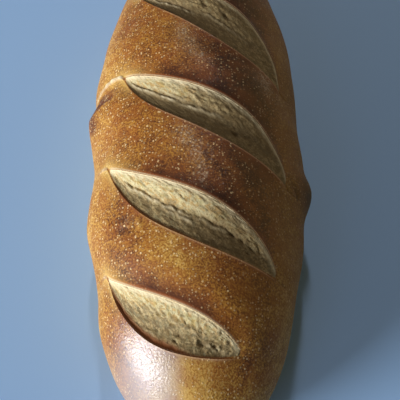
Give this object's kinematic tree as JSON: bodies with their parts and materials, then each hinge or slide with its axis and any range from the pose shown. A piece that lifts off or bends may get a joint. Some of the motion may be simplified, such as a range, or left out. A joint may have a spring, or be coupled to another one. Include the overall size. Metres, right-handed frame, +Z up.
{
  "type": "sourdough french bread loaf",
  "caption": "Whole oval sourdough loaf with a glossy golden-brown crust, opened slanting slashes that show pale crumb, and a flat base.",
  "frame": {"origin": "on the flat base, under the middle of the loaf", "axes": "+Y along the loaf towards its slightly wider half, +X across it, +Z up through the slashed top"},
  "size_m": [0.1152, 0.3, 0.0749],
  "materials": {
    "crust": "baked crust, satin to glossy, golden brown with darker rims at the slashes"
  },
  "bodies": {
    "root": {"loaf": "crust"}
  },
  "joints": []
}
